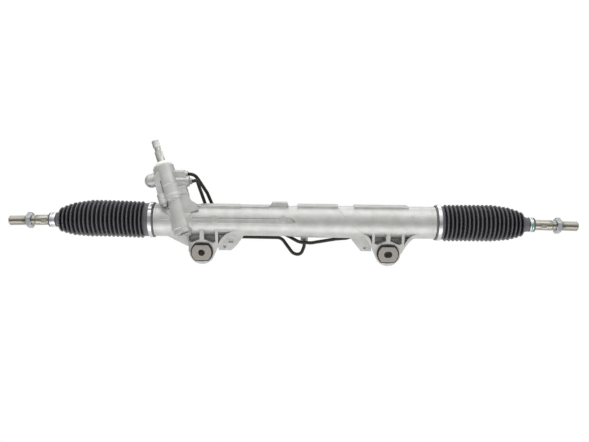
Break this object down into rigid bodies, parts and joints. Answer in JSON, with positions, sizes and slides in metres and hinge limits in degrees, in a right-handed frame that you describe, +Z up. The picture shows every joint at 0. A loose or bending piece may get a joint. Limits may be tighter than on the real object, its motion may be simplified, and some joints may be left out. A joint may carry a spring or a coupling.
{
  "type": "steering rack",
  "caption": "Hydraulic power steering rack: cast housing on two rubber bushes, raked pinion and valve tower, sliding toothed rack, ribbed boots and ball-jointed tie rods",
  "frame": {"origin": "centre of the left mounting bush's bolt hole, half way along it", "axes": "+X along the rack towards the right tie rod as seen from the front, +Y along the mounting bolts towards the back, +Z up towards the input shaft"},
  "size_m": [1.0702, 0.0969, 0.2237],
  "materials": {
    "cast_aluminium": "as-cast, fine grain, matt",
    "zinc_steel": "blue-white zinc plate",
    "bearing_steel": "ground",
    "seal_rubber": "smooth",
    "cream_plastic": "smooth moulded",
    "machined_steel": "turned and ground, oiled",
    "shaft_steel": "turned, serrated end",
    "guide_aluminium": "die cast, machined",
    "spring_steel": "dark, oiled",
    "seal_plastic": "filled low-friction plastic",
    "pipe_steel": "dark plated steel pipe",
    "bush_steel": "zinc plate, warm grey",
    "bush_rubber": "bonded rubber, matt",
    "boot_rubber": "moulded, satin",
    "band_steel": "bright zinc plate",
    "seat_plastic": "moulded acetal",
    "yellow_zinc_steel": "olive-yellow passivated zinc"
  },
  "bodies": {
    "housing": {"cylinder_end_stopper": "machined_steel", "cylinder_inner_seal": "seal_rubber", "dust_cover": "cream_plastic", "input_shaft_bearing": "bearing_steel", "input_shaft_seal": "seal_rubber", "left_boot": "boot_rubber", "left_boot_band": "band_steel", "left_bush_insert": "bush_steel", "left_bush_rubber": "bush_rubber", "left_bush_sleeve": "bush_steel", "left_chamber_pipe": "pipe_steel", "pinion_end_cap": "zinc_steel", "pinion_lower_bearing": "bearing_steel", "pinion_seal": "seal_rubber", "pinion_upper_bearing": "bearing_steel", "pipe_nuts": "zinc_steel", "rack_guide": "guide_aluminium", "rack_guide_lock_nut": "zinc_steel", "rack_guide_plug": "zinc_steel", "rack_guide_spring": "spring_steel", "rack_housing": "cast_aluminium", "right_boot": "boot_rubber", "right_boot_band": "band_steel", "right_bush_insert": "bush_steel", "right_bush_rubber": "bush_rubber", "right_bush_sleeve": "bush_steel", "right_chamber_pipe": "pipe_steel", "stopper_snap_ring": "spring_steel", "valve_housing": "cast_aluminium", "valve_housing_bolts": "zinc_steel"},
    "rack": {"rack_bar": "machined_steel", "rack_piston": "machined_steel", "piston_ring": "seal_plastic", "left_ball_socket": "machined_steel", "right_ball_socket": "machined_steel", "left_claw_washer": "machined_steel", "right_claw_washer": "machined_steel"},
    "pinion": {"pinion": "machined_steel", "valve_sleeve": "machined_steel", "torsion_bar": "machined_steel"},
    "input_shaft": {"input_shaft": "shaft_steel"},
    "left_ball_seat": {"left_ball_seat": "seat_plastic"},
    "right_ball_seat": {"right_ball_seat": "seat_plastic"},
    "left_tie_rod": {"left_tie_rod": "yellow_zinc_steel", "left_jam_nut": "zinc_steel", "left_boot_clip": "band_steel"},
    "right_tie_rod": {"right_tie_rod": "yellow_zinc_steel", "right_jam_nut": "zinc_steel", "right_boot_clip": "band_steel"}
  },
  "joints": [
    {"name": "rack_slide", "type": "slide", "parent": "housing", "child": "rack", "axis": [1, 0, 0], "range_m": [-0.075, 0.075], "deforming": ["left_boot", "right_boot"]},
    {"name": "pinion_spin", "type": "hinge", "parent": "housing", "child": "pinion", "pos_m": [-0.043, -0.01623, 0.06056], "axis": [-0.3256, 0.3542, 0.8767], "range_deg": [-515, 515]},
    {"name": "input_shaft_twist", "type": "hinge", "parent": "pinion", "child": "input_shaft", "pos_m": [-0.043, -0.01623, 0.06056], "axis": [-0.3256, 0.3542, 0.8767], "range_deg": [-4, 4], "stiffness_Nm_per_rad": 60},
    {"name": "left_ball_swing", "type": "hinge", "parent": "rack", "child": "left_ball_seat", "pos_m": [-0.202, 0, 0.054], "axis": [0, 1, 0], "range_deg": [-20, 20]},
    {"name": "left_ball_steer", "type": "hinge", "parent": "left_ball_seat", "child": "left_tie_rod", "pos_m": [-0.202, 0, 0.054], "axis": [0, 0, 1], "range_deg": [-20, 20]},
    {"name": "right_ball_swing", "type": "hinge", "parent": "rack", "child": "right_ball_seat", "pos_m": [0.542, 0, 0.054], "axis": [0, 1, 0], "range_deg": [-20, 20]},
    {"name": "right_ball_steer", "type": "hinge", "parent": "right_ball_seat", "child": "right_tie_rod", "pos_m": [0.542, 0, 0.054], "axis": [0, 0, 1], "range_deg": [-20, 20]}
  ],
  "couplings": [
    {"joint": "pinion_spin", "follows": "rack_slide", "rad_per_m": -118.19}
  ]
}
